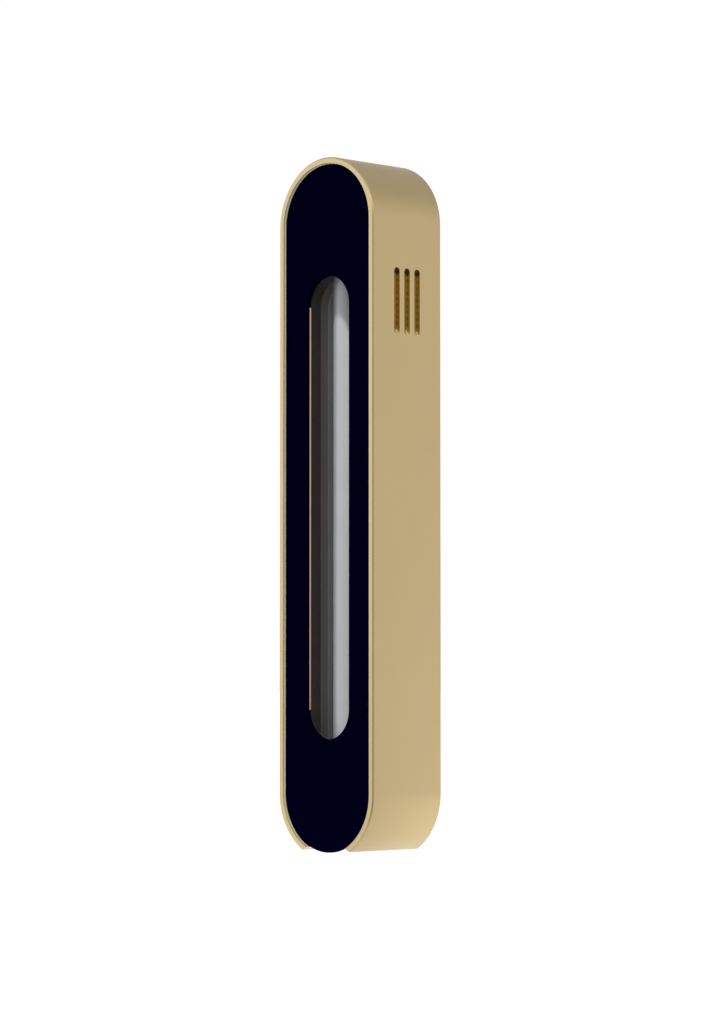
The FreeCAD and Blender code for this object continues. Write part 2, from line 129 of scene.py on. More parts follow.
vent_foot_rise = 1.0 * MM
button_radius = 4.5 * MM
button_gap = 0.3 * MM
button_dish = 0.35 * MM
button_dish_edge = 0.3 * MM
button_chamfer = 0.35 * MM
button_flange = 0.6 * MM
back_well_radius = 6.6 * MM
back_well_depth = 0.25 * MM
back_well_rise = 0.1 * MM

# how far a cutter runs past what it cuts
past = 1 * MM

ARC_STEPS = 72
VENT_ARC_STEPS = 16
VENT_ROUND_STEPS = 5
TURN_STEPS = 128
ROLLER_STEPS = 160
TUBE_CUTTER_STEPS = 96
LENS_STEPS = 48
DISH_STEPS = 10
SAME_SPOT = 0.0001 * MM

# ---------------------------------------------------------------- mesh helpers


def link(name, mesh):
    piece = bpy.data.objects.new(name, mesh)
    bpy.context.scene.collection.objects.link(piece)
    return piece


def sweep(name, rails, closed_path, closed_section):
    """Mesh through rails of points; a rail follows the path and the rails lie side by side.

    An open section gets a flat face on its first and last rail, an open path gets its two end faces.
    """
    grid = bmesh.new()
    rows = [[grid.verts.new(point) for point in rail] for rail in rails]
    row_count = len(rows)
    length = len(rows[0])
    row_pairs = row_count if closed_section else row_count - 1
    path_pairs = length if closed_path else length - 1
    for r in range(row_pairs):
        near = rows[r]
        far = rows[(r + 1) % row_count]
        for p in range(path_pairs):
            q = (p + 1) % length
            grid.faces.new((near[p], near[q], far[q], far[p]))
    if closed_path and not closed_section:
        grid.faces.new(rows[0])
        grid.faces.new(list(reversed(rows[-1])))
    if not closed_path:
        grid.faces.new([row[0] for row in rows])
        grid.faces.new([row[-1] for row in reversed(rows)])
    bmesh.ops.recalc_face_normals(grid, faces=grid.faces)
    mesh = bpy.data.meshes.new(name)
    grid.to_mesh(mesh)
    grid.free()
    return link(name, mesh)


def finish_mesh(piece, modifiers, smooth_angle=35.0):
    """Apply the modifiers, drop faces without area, and shade smooth up to the angle."""
    for kind, settings in modifiers:
        modifier = piece.modifiers.new(kind.lower(), kind)
        for key, value in settings.items():
            setattr(modifier, key, value)
    bpy.context.view_layer.update()
    ready = piece.evaluated_get(bpy.context.evaluated_depsgraph_get())
    mesh = bpy.data.meshes.new_from_object(ready)
    mesh.name = piece.name
    clean = bmesh.new()
    clean.from_mesh(mesh)
    bmesh.ops.dissolve_degenerate(clean, dist=SAME_SPOT, edges=clean.edges)
    clean.to_mesh(mesh)
    clean.free()
    piece.modifiers.clear()
    piece.data = mesh
    for polygon in mesh.polygons:
        polygon.use_smooth = True
    mesh.set_sharp_from_angle(angle=math.radians(smooth_angle))
    weighted = piece.modifiers.new("even_normals", "WEIGHTED_NORMAL")
    weighted.keep_sharp = True
    return piece


def cut_with(cutter):
    return ("BOOLEAN", {"operation": "DIFFERENCE", "solver": "EXACT", "object": cutter})


def discard(*objects):
    for item in objects:
        bpy.data.objects.remove(item)


def arc(centre_x, centre_z, radius, start, end, steps):
    """Points (x, z) on an arc, angles in radians from +X."""
    points = []
    for step in range(steps + 1):
        angle = start + (end - start) * step / steps
        points.append((centre_x + radius * math.cos(angle), centre_z + radius * math.sin(angle)))
    return points


def pill_outline(radius, bottom, top, steps=ARC_STEPS):
    """Closed upright pill outline as (x, z) points."""
    high = arc(0, top - radius, radius, 0, math.pi, steps)
    low = arc(0, bottom + radius, radius, math.pi, 2 * math.pi, steps)
    return high + low


def arch_outline(radius, bottom, top, steps=ARC_STEPS):
    """Closed outline with a round top and a flat foot."""
    high = arc(0, top - radius, radius, 0, math.pi, steps)
    return high + [(-radius, bottom), (radius, bottom)]


def at_depth(outline, y):
    return [(x, y, z) for x, z in outline]


def rounded(start, corner, end, steps=3):
    """Points of a rounded corner from start to end, both given in the plane of the section."""
    points = []
    for step in range(steps + 1):
        t = step / steps
        a = (1 - t) ** 2
        b = 2 * t * (1 - t)
        c = t ** 2
        points.append(tuple(a * s + b * m + c * e for s, m, e in zip(start, corner, end)))
    return points


# ---------------------------------------------------------------- pieces


def mouth_angle(radius):
    """Angle at which the straight end face of the open foot crosses a radius of the band."""
    foot = band_low.z - low_centre
    outer = Vector((math.sqrt(band_radius ** 2 - foot ** 2), foot))
    inner = Vector((mouth_inner_half_width, -math.sqrt(inner_radius ** 2 - mouth_inner_half_width ** 2)))
    run = inner - outer
    a = run.dot(run)
    b = 2 * outer.dot(run)
    c = outer.dot(outer) - radius ** 2
    spot = outer + run * (-b - math.sqrt(max(b * b - 4 * a * c, 0))) / (2 * a)
    return math.atan2(spot.y, spot.x)


def band_path(inset):
    """Path of the band at an inset from its outer face, from the right end of the mouth to the left."""
    radius = band_radius - inset
    low_right = arc(0, low_centre, radius, mouth_angle(radius), 0, ARC_STEPS // 2)
    high = arc(0, high_centre, radius, 0, math.pi, ARC_STEPS)
    low_left = [(-x, z) for x, z in reversed(low_right)]
    return low_right + high + low_left


def softened(corners, radius, steps=2):
    """Closed outline whose corners are rounded by a small radius."""
    points = []
    for index, corner in enumerate(corners):
        here = Vector(corner)
        before = Vector(corners[index - 1]) - here
        after = Vector(corners[(index + 1) % len(corners)]) - here
        reach = min(radius, before.length * 0.4, after.length * 0.4)
        points += rounded(tuple(here + before.normalized() * reach), corner,
                          tuple(here + after.normalized() * reach), steps)
    return points


def band_section():
    """Closed section of the band as (inset, y): chamfered rims and a groove around each panel."""
    corners = []
    groove_wall = rim_wall + highlight_strip_width
    for side, chamfer in ((-1, front_chamfer), (1, back_chamfer)):
        rim = side * half_depth
        ledge = side * (abs(panel_low.y) - groove_depth)
        face = side * abs(panel_low.y)
        # the slanted strip between this edge and the panel's face carries a painted highlight
        highlight_strip_edge = side * (abs(panel_low.y) + highlight_strip_height)
        run = [(0, rim - side * chamfer), (chamfer, rim), (rim_wall - rim_inner_chamfer, rim),
               (rim_wall, rim - side * rim_inner_chamfer), (rim_wall, highlight_strip_edge), (groove_wall, face),
               (groove_wall, ledge), (band_wall, ledge)]
        corners += run if side < 0 else list(reversed(run))
    return softened(corners, rim_round)


def vent_cutter(y):
    """Round-ended slot through the band's side, with a flared mouth and a foot that slopes outward."""
    radius = vent_width / 2
    bottom = screen_low.z + vent_margin
    top = screen_high.z - vent_margin
    stations = [(inner_radius - 1.5 * past, 0.0), (band_radius - vent_foot_rise, 0.0)]
    for step in range(VENT_ROUND_STEPS + 1):
        angle = math.pi / 2 * step / VENT_ROUND_STEPS
        stations.append((band_radius - vent_round + vent_round * math.sin(angle),
                         vent_round * (1 - math.cos(angle))))
    stations.append((band_radius + past, vent_round + 10 * SAME_SPOT))
    rails = []
    for x, flare in stations:
        reach = radius + flare
        foot = bottom + min(band_radius - x, vent_foot_rise) if x < band_radius - vent_round else bottom
        high = arc(0, top - radius, reach, 0, math.pi, VENT_ARC_STEPS)
        low = arc(0, foot + radius, reach, math.pi, 2 * math.pi, VENT_ARC_STEPS)
        left = [(-reach, top - vent_end_high), (-reach, foot + vent_end_low)]
        right = [(reach, foot + vent_end_low), (reach, top - vent_end_high)]
        rails.append([(x, y + across, z) for across, z in high + left + low + right])
    return sweep("vent_cutter", rails, closed_path=True, closed_section=False)


def make_band():
    rails = []
    for inset, y in band_section():
        rails.append([(x, y, z) for x, z in band_path(inset)])
    band = sweep("band", rails, closed_path=False, closed_section=True)
    finish_mesh(band, [("BEVEL", {"width": foot_bevel, "segments": 2, "limit_method": "ANGLE",
                                  "angle_limit": math.radians(70)})])
    band.modifiers.clear()
    first = -(vent_count - 1) / 2
    cutters = [vent_cutter((first + index) * vent_pitch) for index in range(vent_count)]
    finish_mesh(band, [cut_with(cutter) for cutter in cutters], 30.0)
    discard(*cutters)
    return band


def from_centre_line(x, z):
    """Distance of a point from the upright line that runs between the centres of the two round ends."""
    return math.hypot(x, z - min(max(z, low_centre), high_centre))


# order of the band's finishes; all but the satin gold paint light and shade into the colour
SATIN, HIGHLIGHT_STRIP, GROOVE_SHADE, VENT_WALL_LIGHT, VENT_SLOPE_HIGHLIGHT, VENT_TOP_SHADE, RIM_WALL_SHADING = range(7)


def finish_of_band_face(spot):
    """Which of the band's finishes a face gets, by where its middle is: painted shade in the groove and at
    the slot heads, painted highlights on the strip at the foot of the rim's wall and at the slot feet,
    painted light on the slot walls, painted light and shade on the rim's inner wall.
    """
    middle = (band_radius + inner_radius) / 2
    if abs(spot.x - middle) < band_wall * 0.49 and screen_low.z < spot.z < screen_high.z:
        if abs(spot.y) < vent_pitch * vent_count / 2:
            # painted shade on the head of each slot
            if spot.z > screen_high.z - vent_margin - vent_end_high:
                return VENT_TOP_SHADE
            # painted highlight on the sloped foot of each slot, painted light on the rest of the slot walls
            slope_top = screen_low.z + vent_margin + vent_foot_rise * 1.4
            return VENT_SLOPE_HIGHLIGHT if spot.z < slope_top else VENT_WALL_LIGHT
    depth = abs(panel_low.y) - abs(spot.y)
    radius = from_centre_line(spot.x, spot.z)
    rim_inside = band_radius - rim_wall
    if -highlight_strip_width - rim_round < radius - rim_inside < rim_round:
        if depth > groove_depth or abs(spot.y) > half_depth - rim_inner_chamfer:
            return SATIN
        # painted shade in the groove; painted highlight on the slanted strip above it; painted light and
        # shade on the rim's wall above that
        if depth > 0:
            return GROOVE_SHADE
        return HIGHLIGHT_STRIP if depth > -highlight_strip_height else RIM_WALL_SHADING
    # painted shade on the ledge at the foot of the groove
    if inner_radius < radius < rim_inside and abs(depth - groove_depth) < rim_round:
        return GROOVE_SHADE
    return SATIN


def panel_outline(low, high, inset, y):
    return at_depth(pill_outline(inner_radius - inset, low.z + inset, high.z - inset), y)


def make_front_panel():
    """Flat plate with softened edges and the long window cut through it."""
    face = panel_low.y
    inside = panel_high.y

    def outer(inset, y):
        return panel_outline(panel_low, panel_high, inset, y)

    def inner(spread, y):
        return at_depth(pill_outline(window_radius + spread, window_bottom - spread, window_top + spread), y)

    rails = [outer(panel_back_chamfer, inside), outer(0, inside - panel_back_chamfer),
             outer(0, face + panel_bevel), outer(panel_bevel, face)]
    rails += [inner(window_round, face), inner(window_round * 0.3, face + window_round * 0.3),
              inner(0, face + window_round)]
    rails.append(inner(0, inside))
    plate = sweep("front_plate", rails, closed_path=True, closed_section=True)
    seats = [strip("seat", side, seat_gap, 0) for side in (-1, 1)]
    finish_mesh(plate, [cut_with(seat) for seat in seats], 30.0)
    discard(*seats)
    return plate


def strip(name, side, spare, bevel):
    """Straight strip along one side of the window; a bevel turns its inner face toward the front."""
    near = side * (window_radius - spare)
    far = side * (trim_high.x + spare)
    front = trim_low.y - spare
    back = trim_high.y + spare
    corners = [(near, front + bevel), (near, back), (far, back), (far, front)]
    if bevel == 0:
        section = corners
    else:
        section = softened(corners, edge_round * 0.5)
    rails = [[(x, y, trim_low.z - spare), (x, y, trim_high.z + spare)] for x, y in section]
    return sweep(name, rails, closed_path=False, closed_section=True)


def make_window_trim():
    """Two thin bright strips that line the straight sides of the window behind the panel's lip."""
    left, right = [strip("window_edge", side, 0, trim_bevel) for side in (-1, 1)]
    both = bmesh.new()
    both.from_mesh(left.data)
    both.from_mesh(right.data)
    both.to_mesh(left.data)
    both.free()
    discard(right)
    return finish_mesh(left, [], 50.0)


def make_trough():
    """Dark lining behind the window: round at the top, straight at the foot, stepped along its walls."""
    front = trough_low.y
    back = trough_high.y
    floor = back - trough_wall
    face = panel_low.y
    centre = trough_high.z - trough_high.x
    inner_bottom = seal_high.z

    def outer(y):
        radius = trough_high.x
        return at_depth(arch_outline(radius, trough_low.z, centre + radius), y)

    def inner(index, y):
        radius = trough_high.x - trough_wall - index * trough_step
        return at_depth(arch_outline(radius, inner_bottom + index * foot_step, centre + radius), y)

    rails = [outer(back), outer(front), inner(0, front)]
    for index, depth in enumerate(trough_step_depths):
        rails += [inner(index, face + depth), inner(index + 1, face + depth)]
    rails.append(inner(len(trough_step_depths), floor))
    trough = sweep("trough", rails, closed_path=True, closed_section=False)
    hole = tube_cutter("roller_hole", roller_radius + roller_hole_clearance, centre, trough_high.z + past)
    seal = tube_cutter("seal_hole", seal_high.x, trough_low.z - past, inner_bottom + past)
    finish_mesh(trough, [cut_with(hole), cut_with(seal)], 30.0)
    discard(hole, seal)
    return trough


def turned(name, profile, centre, axis, steps=TURN_STEPS, closed_section=False):
    """Piece of revolution; the profile is (radius, height along the axis)."""
    turn = Vector((0, 0, 1)).rotation_difference(Vector(axis)).to_matrix()
    rails = []
    for radius, height in profile:
        angles = [2 * math.pi * step / steps for step in range(steps)]
        spots = [Vector((radius * math.cos(a), radius * math.sin(a), height)) for a in angles]
        rails.append([centre + turn @ spot for spot in spots])
    return sweep(name, rails, closed_path=True, closed_section=closed_section)


def tube_cutter(name, radius, bottom, top):
    return turned(name, [(radius, bottom), (radius, top)], roller_axis, (0, 0, 1), TUBE_CUTTER_STEPS)


def make_roller():
    """Polished steel tube with rounded ends."""
    bottom = sleeve_low.z
    top = sleeve_high.z
    bore = roller_radius - roller_wall
    soft = roller_end_round
    low = rounded((roller_radius - soft, bottom), (roller_radius, bottom), (roller_radius, bottom + soft), 5)
    high = rounded((roller_radius, top - soft), (roller_radius, top), (roller_radius - soft, top), 5)
    profile = [(bore, bottom)] + low + high + [(bore, top)]
    tube = turned("roller_tube", profile, roller_axis, (0, 0, 1), ROLLER_STEPS, closed_section=True)
    return finish_mesh(tube, [])


def make_back_panel():
    """Plain plate with a shallow round well for the button and a hole for the light."""
    face = back_high.y
    inside = back_low.y
    edge = [(panel_back_chamfer, inside), (0, inside + panel_back_chamfer),
            (0, face - panel_bevel), (panel_bevel, face)]
    rails = [panel_outline(back_low, back_high, inset, y) for inset, y in edge]
    plate = sweep("back_plate", rails, closed_path=True, closed_section=False)
    hole_radius = button_radius + button_gap
    well = turned("well", [(back_well_radius * 0.8, face - back_well_depth),
                           (back_well_radius, face + back_well_rise)], button_axis, (0, 1, 0))
    hole = turned("hole", [(hole_radius, inside - past), (hole_radius, face + past)], button_axis, (0, 1, 0))
    eye = turned("eye", [(light_high.x, inside - past), (light_high.x, face + past)],
                 light_axis, (0, 1, 0), LENS_STEPS)
    finish_mesh(plate, [cut_with(well), cut_with(hole), cut_with(eye)], 25.0)
    discard(well, hole, eye)
    return plate


def make_button():
    """Round button with a chamfered rim, a dished top and a flange under the panel."""
    top = button_high.y
    base = button_low.y
    flange_radius = button_high.x
    flange_top = base + button_flange
    profile = [(flange_radius * 0.2, base),
               (flange_radius - edge_round, base), (flange_radius, base + edge_round),
               (flange_radius, flange_top - edge_round), (flange_radius - edge_round, flange_top),
               (button_radius, flange_top), (button_radius, top - button_chamfer)]
    rim = button_radius - button_chamfer
    profile += rounded((button_radius, top - button_chamfer + 0.02 * MM), (button_radius - 0.05 * MM, top),
                       (rim, top), 4)
    for step in range(1, DISH_STEPS):
        radius = (rim - button_dish_edge) * (1 - step / DISH_STEPS)
        profile.append((radius, top - button_dish * (1 - (radius / rim) ** 2)))
    button = turned("button", profile, button_axis, (0, 1, 0))
    return finish_mesh(button, [])


def make_lens():
    """Small domed lens of the status light."""
    radius = light_high.x
    top = light_high.y
    profile = [(radius, light_low.y), (radius, top - 0.25 * MM)]
    profile += rounded((radius, top - 0.2 * MM), (radius * 0.9, top), (radius * 0.1, top), 6)
    lens = turned("light_lens", profile, light_axis, (0, 1, 0), LENS_STEPS)
    return finish_mesh(lens, [])


# ---------------------------------------------------------------- materials


class Nodes:
    """A material's node tree with short calls for the nodes used here."""

    def __init__(self, name):
        self.material = bpy.data.materials.new(name)
        self.material.use_nodes = True
        self.tree = self.material.node_tree
        self.shader = self.tree.nodes["Principled BSDF"]
        self.coords = self.tree.nodes.new("ShaderNodeTexCoord")

    def set(self, **values):
        for key, value in values.items():
            self.shader.inputs[key.replace("_", " ")].default_value = value

    def drive(self, socket, source):
        self.tree.links.new(source, self.shader.inputs[socket])

    def stretched(self, scale):
        mapping = self.tree.nodes.new("ShaderNodeMapping")
        mapping.inputs["Scale"].default_value = scale
        self.tree.links.new(self.coords.outputs["Object"], mapping.inputs["Vector"])
        return mapping.outputs["Vector"]

    def noise(self, scale, detail=3.0, roughness=0.5, vector=None):
        noise = self.tree.nodes.new("ShaderNodeTexNoise")
        noise.inputs["Scale"].default_value = scale
        noise.inputs["Detail"].default_value = detail
        noise.inputs["Roughness"].default_value = roughness
        self.tree.links.new(vector or self.coords.outputs["Object"], noise.inputs["Vector"])
        return noise.outputs["Fac"]

    def spread(self, source, low, high, from_low=0.3, from_high=0.7):
        ranged = self.tree.nodes.new("ShaderNodeMapRange")
        ranged.inputs["From Min"].default_value = from_low
        ranged.inputs["From Max"].default_value = from_high
        ranged.inputs["To Min"].default_value = low
        ranged.inputs["To Max"].default_value = high
        self.tree.links.new(source, ranged.inputs["Value"])
        return ranged.outputs["Result"]

    def blend(self, source, first, second):
        mix = self.tree.nodes.new("ShaderNodeMix")
        mix.data_type = "RGBA"
        mix.inputs["A"].default_value = (*first, 1)
        mix.inputs["B"].default_value = (*second, 1)
        self.tree.links.new(source, mix.inputs["Factor"])
        return mix.outputs["Result"]

    def combine(self, kind, first, second):
        math_node = self.tree.nodes.new("ShaderNodeMath")
        math_node.operation = kind
        for index, value in enumerate((first, second)):
            if isinstance(value, (int, float)):
                math_node.inputs[index].default_value = value
            else:
                self.tree.links.new(value, math_node.inputs[index])
        return math_node.outputs[0]

    def bump(self, height, distance, strength=1.0):
        bump = self.tree.nodes.new("ShaderNodeBump")
        bump.inputs["Distance"].default_value = distance
        bump.inputs["Strength"].default_value = strength
        self.tree.links.new(height, bump.inputs["Height"])
        self.drive("Normal", bump.outputs["Normal"])


def shade(factor, colour):
    return tuple(channel * factor for channel in colour)


def mottled(nodes, pattern, colour, darkest, lightest=1.0):
    """Base colour that wanders between two shades of one colour."""
    shades = (shade(darkest, colour), shade(lightest, colour))
    nodes.drive("Base Color", nodes.blend(nodes.spread(pattern, 0, 1), *shades))


# colours that more than one place uses, or that belong together
GOLD = (0.60, 0.455, 0.215)
# painted highlight: pale non-metal colour on the slanted strip at the foot of the rim's inner wall
PAINTED_HIGHLIGHT_PALE = (1.0, 0.88, 0.66)
# painted light and shade: a non-metal copy of the gold on the rim's inner wall
RIM_INSIDE_PAINTED_SHADING = (0.90, 0.68, 0.30)
# painted light: a brighter, more saturated copy of the gold on the slot walls
VENT_GOLD_PAINTED_LIGHT = (0.78, 0.625, 0.26)
# painted highlight on the sloped foot of each slot
VENT_FOOT_PAINTED_HIGHLIGHT = (1.0, 0.74, 0.30)
# painted shade: near-black in the groove round each panel
GROOVE_PAINTED_SHADE_BLACK = (0.006, 0.006, 0.010)
# painted shade: a dark copy of the gold on the head of each slot
VENT_HEAD_PAINTED_SHADE = (0.26, 0.17, 0.06)
ROSE = (0.80, 0.50, 0.38)
STEEL = (0.42, 0.42, 0.43)
NAVY = (0.00002, 0.00002, 0.0108)
# painted light and shade on the dark lining: its colour by its distance behind the panel's face, in
# millimetres, darker near the front and paler toward the back
LINER_PAINTED_SHADING_STOPS = (
    (1.4, (0.043, 0.044, 0.038)), (3.0, (0.060, 0.061, 0.052)), (5.3, (0.088, 0.060, 0.055)),
    (5.5, (0.185, 0.185, 0.180)), (7.9, (0.265, 0.240, 0.225)), (8.1, (0.42, 0.44, 0.465)),
    (13.4, (0.48, 0.50, 0.53)),
)


def satin_gold(name="satin_gold", colour=GOLD, roughness=0.34):
    """Bead-blasted anodised aluminium: fine grain, faint clouding, a thin clear layer."""
    nodes = Nodes(name)
    nodes.set(Metallic=1.0, Coat_Weight=0.8, Coat_Roughness=0.28, Coat_IOR=1.5)
    clouds = nodes.noise(60.0, 4.0)
    grain = nodes.noise(5200.0, 2.0, 0.6)
    mottled(nodes, clouds, colour, 0.975, 1.02)
    rough = nodes.combine("ADD", nodes.spread(clouds, roughness - 0.015, roughness + 0.015),
                          nodes.spread(grain, -0.02, 0.02))
    nodes.drive("Roughness", rough)
    nodes.bump(grain, 0.004 * MM, 0.35)
    return nodes.material


def painted_light_metal(name, colour, metallic):
    """Pale metal with fine marks, its colour painted light and shade in small walls of the band: the
    highlight strip at the rim's foot, the slot feet and the rim's inner wall.
    """
    nodes = Nodes(name)
    nodes.set(Metallic=metallic)
    marks = nodes.noise(1400.0, 3.0, 0.5)
    mottled(nodes, marks, colour, 0.94)
    nodes.drive("Roughness", nodes.spread(marks, 0.25, 0.33))
    nodes.bump(marks, 0.002 * MM, 0.3)
    return nodes.material


def matt_navy():
    """Soft-touch navy finish with almost no gloss and a very fine tooth."""
    nodes = Nodes("matt_navy")
    nodes.set(Specular_IOR_Level=0.003)
    tooth = nodes.noise(4200.0, 2.0, 0.6)
    clouds = nodes.noise(45.0, 3.0)
    mottled(nodes, clouds, NAVY, 0.92, 1.08)
    nodes.drive("Roughness", nodes.spread(tooth, 0.70, 0.86))
    nodes.bump(tooth, 0.006 * MM, 0.4)
    return nodes.material


def bright_rose():
    """Bright machined edge in rose gold."""
    nodes = Nodes("bright_rose")
    nodes.set(Metallic=1.0)
    lines = nodes.noise(900.0, 3.0, 0.5, nodes.stretched((1, 14, 1)))
    mottled(nodes, lines, ROSE, 0.92)
    nodes.drive("Roughness", nodes.spread(lines, 0.07, 0.13))
    nodes.bump(lines, 0.002 * MM, 0.3)
    return nodes.material


def polished_steel():
    """Turned and fine-blasted stainless steel with faint rings round the roller."""
    nodes = Nodes("polished_steel")
    nodes.set(Metallic=0.5)
    rings = nodes.noise(500.0, 3.0, 0.6, nodes.stretched((0.4, 0.4, 9)))
    marks = nodes.noise(140.0, 5.0, 0.6)
    mottled(nodes, marks, STEEL, 0.96)
    rough = nodes.combine("ADD", nodes.spread(rings, 0.44, 0.50), nodes.spread(marks, -0.02, 0.03))
    nodes.drive("Roughness", rough)
    nodes.bump(rings, 0.001 * MM, 0.25)
    return nodes.material


def dark_liner():
    """Semi-gloss moulded plastic with painted light and shade, darker near the front and paler toward the
    back, with a faint moulded grain.
    """
    nodes = Nodes("dark_liner")
    nodes.set(Specular_IOR_Level=0.5, Coat_Weight=0.2, Coat_Roughness=0.15)
    grain = nodes.noise(2600.0, 3.0, 0.6)
    flow = nodes.noise(70.0, 3.0, 0.5, nodes.stretched((1, 1, 0.15)))
    split = nodes.tree.nodes.new("ShaderNodeSeparateXYZ")
    nodes.tree.links.new(nodes.coords.outputs["Object"], split.inputs["Vector"])
    # painted light and shade: colour ramp by depth behind the panel
    depth = nodes.spread(split.outputs["Y"], 0, 1, trough_low.y, trough_high.y)
    ramp = nodes.tree.nodes.new("ShaderNodeValToRGB")
    nodes.tree.links.new(depth, ramp.inputs["Fac"])
    elements = ramp.color_ramp.elements
    while len(elements) < len(LINER_PAINTED_SHADING_STOPS):
        elements.new(0.5)
    for element, (below_panel, colour) in zip(elements, LINER_PAINTED_SHADING_STOPS):
        element.position = (panel_low.y + below_panel * MM - trough_low.y) / (trough_high.y - trough_low.y)
        element.color = (*colour, 1)
    tint = nodes.tree.nodes.new("ShaderNodeMix")
    tint.data_type = "RGBA"
    tint.blend_type = "MULTIPLY"
    tint.inputs["Factor"].default_value = 1.0
    nodes.tree.links.new(ramp.outputs["Color"], tint.inputs["A"])
    streaks = nodes.blend(nodes.spread(flow, 0, 1), (0.9, 0.9, 0.9), (1.1, 1.1, 1.1))
    nodes.tree.links.new(streaks, tint.inputs["B"])
    nodes.drive("Base Color", tint.outputs["Result"])
    nodes.drive("Roughness", nodes.spread(flow, 0.22, 0.34))
    nodes.bump(grain, 0.003 * MM, 0.3)
    return nodes.material


def moulded(name, colour, roughness, grain_scale=2400.0, specular=0.4):
    """Plain moulded plastic or rubber with grain and faint clouding."""
    nodes = Nodes(name)
    nodes.set(Specular_IOR_Level=specular)
    grain = nodes.noise(grain_scale, 3.0, 0.6)
    clouds = nodes.noise(90.0, 3.0)
    mottled(nodes, clouds, colour, 0.85, 1.12)
    nodes.drive("Roughness", nodes.spread(grain, roughness - 0.06, roughness + 0.06))
    nodes.bump(grain, 0.012 * MM, 0.4)
    return nodes.material


def machined(name, colour, roughness):
    """Plain metal part with fine tool marks."""
    nodes = Nodes(name)
    nodes.set(Metallic=1.0)
    marks = nodes.noise(800.0, 4.0, 0.6, nodes.stretched((1, 1, 6)))
    mottled(nodes, marks, colour, 0.85)
    nodes.drive("Roughness", nodes.spread(marks, roughness - 0.05, roughness + 0.07))
    nodes.bump(marks, 0.004 * MM, 0.3)
    return nodes.material


def clear_lens():
    nodes = Nodes("clear_lens")
    nodes.set(Specular_IOR_Level=0.5, Transmission_Weight=0.6, IOR=1.49)
    haze = nodes.noise(1500.0, 2.0)
    nodes.drive("Base Color", nodes.blend(nodes.spread(haze, 0, 1), (0.80, 0.84, 0.82), (0.90, 0.93, 0.91)))
    nodes.drive("Roughness", nodes.spread(haze, 0.12, 0.22))
    return nodes.material


def paint(piece, *materials):
    piece.data.materials.clear()
    for material in materials:
        piece.data.materials.append(material)


# ---------------------------------------------------------------- the object


def place(piece, body, slot, material, *nodes):
    paint(piece, material)
    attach(piece, body)
    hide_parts(*nodes)


def build_pieces():
    gold = satin_gold()
    navy = matt_navy()
    band = make_band()
    place(band, "body", "housing_gold", gold, "housing_band")
    # all finishes after the satin gold paint light and shade: a pale highlight strip, shade in the groove,
    # light on the slot walls, a highlight at the slot feet, shade at the slot heads, light and shade on the
    # rim's inner wall
    paint(band, gold, painted_light_metal("painted_light_metal", PAINTED_HIGHLIGHT_PALE, 0.0),
          moulded("groove_painted_shade", GROOVE_PAINTED_SHADE_BLACK, 0.7, 3200.0, 0.2),
          satin_gold("vent_gold_painted_light", VENT_GOLD_PAINTED_LIGHT, 0.30), painted_light_metal("vent_foot_painted_highlight", VENT_FOOT_PAINTED_HIGHLIGHT, 0.6),
          satin_gold("vent_head_painted_shade", VENT_HEAD_PAINTED_SHADE, 0.40), painted_light_metal("rim_inside", RIM_INSIDE_PAINTED_SHADING, 0.0))
    for polygon in band.data.polygons:
        polygon.material_index = finish_of_band_face(polygon.center)
    place(make_front_panel(), "body", "panel_navy", navy, "front_panel")
    place(make_back_panel(), "body", "panel_navy", navy, "back_panel")
    trim = make_window_trim()
    trough = make_trough()
    roller = make_roller()
    place(trim, "body", "trim_rose", bright_rose(), "window_trim")
    place(trough, "body", "liner_dark", dark_liner(), "roller_trough")
    place(roller, "roller", "steel_polished", polished_steel(), "roller_sleeve")
    button_gold = satin_gold("button_gold", GOLD, 0.26)
    place(make_button(), "power_button", "housing_gold", button_gold, "power_button")
    place(make_lens(), "body", "light_lens", clear_lens(), "status_light")
    return trim, roller


def paint_inner_nodes():
    """Give every CAD node that stays its own finish, by the record's material slots."""
    finishes = {
        "steel_plain": machined("plain_steel", (0.50, 0.50, 0.51), 0.30),
        "plastic_black": moulded("black_plastic", (0.012, 0.012, 0.013), 0.55),
        "plastic_white": moulded("white_plastic", (0.70, 0.69, 0.64), 0.42),
        "bearing_bronze": machined("bronze", (0.52, 0.33, 0.15), 0.38),
        "seal_rubber": moulded("seal_rubber", (0.010, 0.010, 0.010), 0.75, 3200.0),
        "screen_brass": satin_gold("screen_gold", (0.50, 0.33, 0.11), 0.38),
        "magnet_dark": moulded("magnet", (0.02, 0.02, 0.022), 0.5),
        "motor_copper": machined("copper", (0.62, 0.28, 0.14), 0.32),
        "cell_wrap": moulded("cell_wrap", (0.28, 0.30, 0.33), 0.35),
        "board_green": moulded("board_green", (0.010, 0.070, 0.032), 0.30),
        "foam_grey": moulded("foam", (0.06, 0.06, 0.065), 0.9, 1400.0),
    }
    slots = {part["node"]: part["material_slot"] for part in frame["record"]["subparts"]}
    for name, node in frame["nodes"].items():
        if slots.get(name) in finishes and not node.hide_render:
            paint(node, finishes[slots[name]])


# ---------------------------------------------------------------- stage, light and camera

CAMERA_AZIMUTH = math.radians(44.236)
CAMERA_PITCH = math.radians(2.928)
CAMERA_DISTANCE = 0.89261
CAMERA_SIDE = 0.0006
CAMERA_HEIGHT = 0.04203
CAMERA_LENS = 121.13


